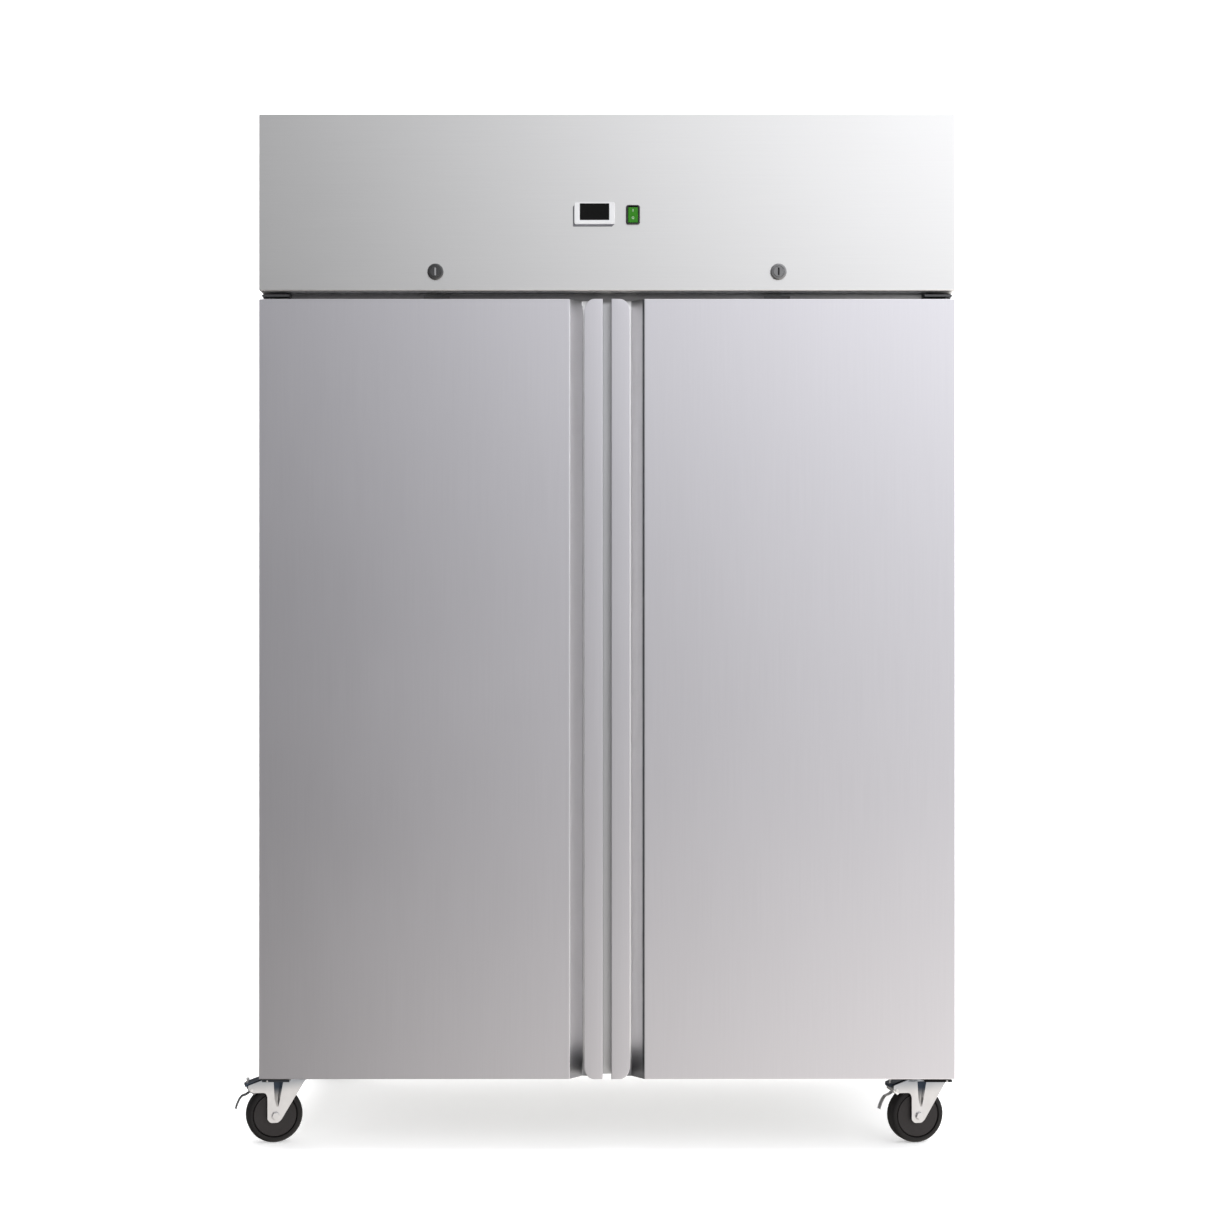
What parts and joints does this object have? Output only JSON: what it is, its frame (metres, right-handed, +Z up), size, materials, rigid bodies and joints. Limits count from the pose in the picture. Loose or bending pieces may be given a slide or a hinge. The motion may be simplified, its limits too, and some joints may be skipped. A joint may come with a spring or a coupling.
{
  "type": "reach-in refrigerator",
  "caption": "Upright stainless kitchen refrigerator with paired doors, full-height grip channels, hinged control header and swivel casters.",
  "frame": {"origin": "on the floor under the centre of the whole, casters included", "axes": "+Z up, +Y from the doors towards the back, +X to the viewer's right facing the doors"},
  "size_m": [1.4438, 0.8313, 2],
  "materials": {
    "stainless_steel": "fine brushed grain, satin",
    "zinc_coated_sheet": "zinc-coated sheet, faint spangle",
    "inner_steel": "bright annealed inner sheet",
    "insulating_foam": "rigid cellular foam",
    "plated_hardware": "zinc-plated steel",
    "lock_metal": "plated zinc casting",
    "lock_plug_dark": "dark plated key plug",
    "lock_plug_grey": "grey plated key plug",
    "white_plastic": "fine-textured moulding",
    "display_black": "smoked lens",
    "black_plastic": "satin moulding",
    "green_plastic": "translucent green moulding",
    "gasket_rubber": "soft extrusion",
    "bush_nylon": "natural nylon",
    "fan_plastic": "moulded",
    "fan_metal": "pressed blade",
    "motor_casing": "dark enamel",
    "coil_aluminium": "bare fins",
    "black_paint": "satin black enamel",
    "grommet_rubber": "moulded rubber",
    "copper_pipe": "drawn copper tube",
    "grey_plastic": "moulded box",
    "shelf_coating": "light grey plastic-dipped wire",
    "caster_steel": "bright zinc-plated pressing",
    "tyre_black": "solid rubber on a black core",
    "pedal_steel": "zinc-plated strip"
  },
  "bodies": {
    "cabinet": {"side_panel_left": "stainless_steel", "side_panel_right": "stainless_steel", "back_panel": "zinc_coated_sheet", "base_panel": "zinc_coated_sheet", "inner_liner": "inner_steel", "cabinet_foam": "insulating_foam", "front_frame": "stainless_steel", "centre_mullion": "stainless_steel", "machine_deck": "zinc_coated_sheet", "top_cover": "zinc_coated_sheet", "rear_grille": "zinc_coated_sheet", "hinge_brackets": "plated_hardware", "frame_bolts": "plated_hardware", "compressor": "black_paint", "compressor_grommets": "grommet_rubber", "condenser": "coil_aluminium", "condenser_shroud": "black_paint", "condenser_fan_motor": "motor_casing", "refrigerant_pipes": "copper_pipe", "condensate_tray": "black_plastic", "power_box": "grey_plastic", "cable_gland": "black_plastic", "evaporator_coil": "coil_aluminium", "evaporator_cover": "inner_steel", "cooling_fan_motors": "motor_casing", "shelf_pilasters": "inner_steel", "shelf_slides": "inner_steel", "wire_shelves": "shelf_coating", "caster_plates": "caster_steel"},
    "header": {"header_panel": "stainless_steel", "controller_case": "white_plastic", "controller_display": "display_black", "switch_frame": "black_plastic", "lock_barrels": "lock_metal"},
    "switch_rocker": {"switch_rocker": "green_plastic"},
    "condenser_fan": {"condenser_fan": "fan_metal"},
    "door_left": {"door_left_skin": "stainless_steel", "door_left_foam": "insulating_foam", "door_left_liner": "inner_steel", "door_left_gasket": "gasket_rubber", "door_left_pivot_bushes": "bush_nylon"},
    "door_right": {"door_right_skin": "stainless_steel", "door_right_foam": "insulating_foam", "door_right_liner": "inner_steel", "door_right_gasket": "gasket_rubber", "door_right_pivot_bushes": "bush_nylon"},
    "lock_left": {"lock_cylinder_left": "lock_plug_dark"},
    "lock_right": {"lock_cylinder_right": "lock_plug_grey"},
    "cooling_fan_left": {"cooling_fan_left": "fan_plastic"},
    "cooling_fan_right": {"cooling_fan_right": "fan_plastic"},
    "caster_front_left": {"caster_fork_front_left": "caster_steel"},
    "wheel_front_left": {"caster_wheel_front_left": "tyre_black"},
    "pedal_front_left": {"brake_pedal_front_left": "pedal_steel"},
    "caster_front_right": {"caster_fork_front_right": "caster_steel"},
    "wheel_front_right": {"caster_wheel_front_right": "tyre_black"},
    "pedal_front_right": {"brake_pedal_front_right": "pedal_steel"},
    "caster_rear_left": {"caster_fork_rear_left": "caster_steel"},
    "wheel_rear_left": {"caster_wheel_rear_left": "tyre_black"},
    "caster_rear_right": {"caster_fork_rear_right": "caster_steel"},
    "wheel_rear_right": {"caster_wheel_rear_right": "tyre_black"}
  },
  "joints": [
    {"name": "door_left", "type": "hinge", "parent": "cabinet", "child": "door_left", "pos_m": [-0.654, -0.377, 0.893], "axis": [0, 0, -1], "range_deg": [0, 115]},
    {"name": "door_right", "type": "hinge", "parent": "cabinet", "child": "door_right", "pos_m": [0.654, -0.377, 0.893], "axis": [0, 0, 1], "range_deg": [0, 115]},
    {"name": "header_panel", "type": "hinge", "parent": "cabinet", "child": "header", "pos_m": [0, -0.357, 1.9945], "axis": [-1, 0, 0], "range_deg": [0, 60]},
    {"name": "switch_rocker", "type": "hinge", "parent": "header", "child": "switch_rocker", "pos_m": [0.05, -0.403, 1.8056], "axis": [-1, 0, 0], "range_deg": [0, 14]},
    {"name": "lock_left", "type": "hinge", "parent": "header", "child": "lock_left", "pos_m": [-0.33, -0.405, 1.696], "axis": [0, 1, 0], "range_deg": [0, 90]},
    {"name": "lock_right", "type": "hinge", "parent": "header", "child": "lock_right", "pos_m": [0.33, -0.405, 1.696], "axis": [0, -1, 0], "range_deg": [0, 90]},
    {"name": "condenser_fan", "type": "hinge", "parent": "cabinet", "child": "condenser_fan", "pos_m": [0.21, 0.07, 1.83], "axis": [0, 1, 0], "continuous": true},
    {"name": "cooling_fan_left", "type": "hinge", "parent": "cabinet", "child": "cooling_fan_left", "pos_m": [-0.26, 0.052, 1.515], "axis": [0, 1, 0], "continuous": true},
    {"name": "cooling_fan_right", "type": "hinge", "parent": "cabinet", "child": "cooling_fan_right", "pos_m": [0.26, 0.052, 1.515], "axis": [0, 1, 0], "continuous": true},
    {"name": "swivel_front_left", "type": "hinge", "parent": "cabinet", "child": "caster_front_left", "pos_m": [-0.63, -0.301, 0.1265], "axis": [0, 0, 1], "continuous": true},
    {"name": "wheel_front_left", "type": "hinge", "parent": "caster_front_left", "child": "wheel_front_left", "pos_m": [-0.65453, -0.30757, 0.055], "axis": [-0.2588, 0.9659, 0], "continuous": true},
    {"name": "pedal_front_left", "type": "hinge", "parent": "caster_front_left", "child": "pedal_front_left", "pos_m": [-0.69955, -0.31964, 0.107], "axis": [0.2588, -0.9659, 0], "range_deg": [0, 12]},
    {"name": "swivel_front_right", "type": "hinge", "parent": "cabinet", "child": "caster_front_right", "pos_m": [0.63, -0.301, 0.1265], "axis": [0, 0, 1], "continuous": true},
    {"name": "wheel_front_right", "type": "hinge", "parent": "caster_front_right", "child": "wheel_front_right", "pos_m": [0.60547, -0.30757, 0.055], "axis": [-0.2588, 0.9659, 0], "continuous": true},
    {"name": "pedal_front_right", "type": "hinge", "parent": "caster_front_right", "child": "pedal_front_right", "pos_m": [0.56045, -0.31964, 0.107], "axis": [0.2588, -0.9659, 0], "range_deg": [0, 12]},
    {"name": "swivel_rear_left", "type": "hinge", "parent": "cabinet", "child": "caster_rear_left", "pos_m": [-0.63, 0.34, 0.1265], "axis": [0, 0, 1], "continuous": true},
    {"name": "wheel_rear_left", "type": "hinge", "parent": "caster_rear_left", "child": "wheel_rear_left", "pos_m": [-0.60547, 0.34657, 0.055], "axis": [0.2588, -0.9659, 0], "continuous": true},
    {"name": "swivel_rear_right", "type": "hinge", "parent": "cabinet", "child": "caster_rear_right", "pos_m": [0.63, 0.34, 0.1265], "axis": [0, 0, 1], "continuous": true},
    {"name": "wheel_rear_right", "type": "hinge", "parent": "caster_rear_right", "child": "wheel_rear_right", "pos_m": [0.65453, 0.34657, 0.055], "axis": [0.2588, -0.9659, 0], "continuous": true}
  ]
}
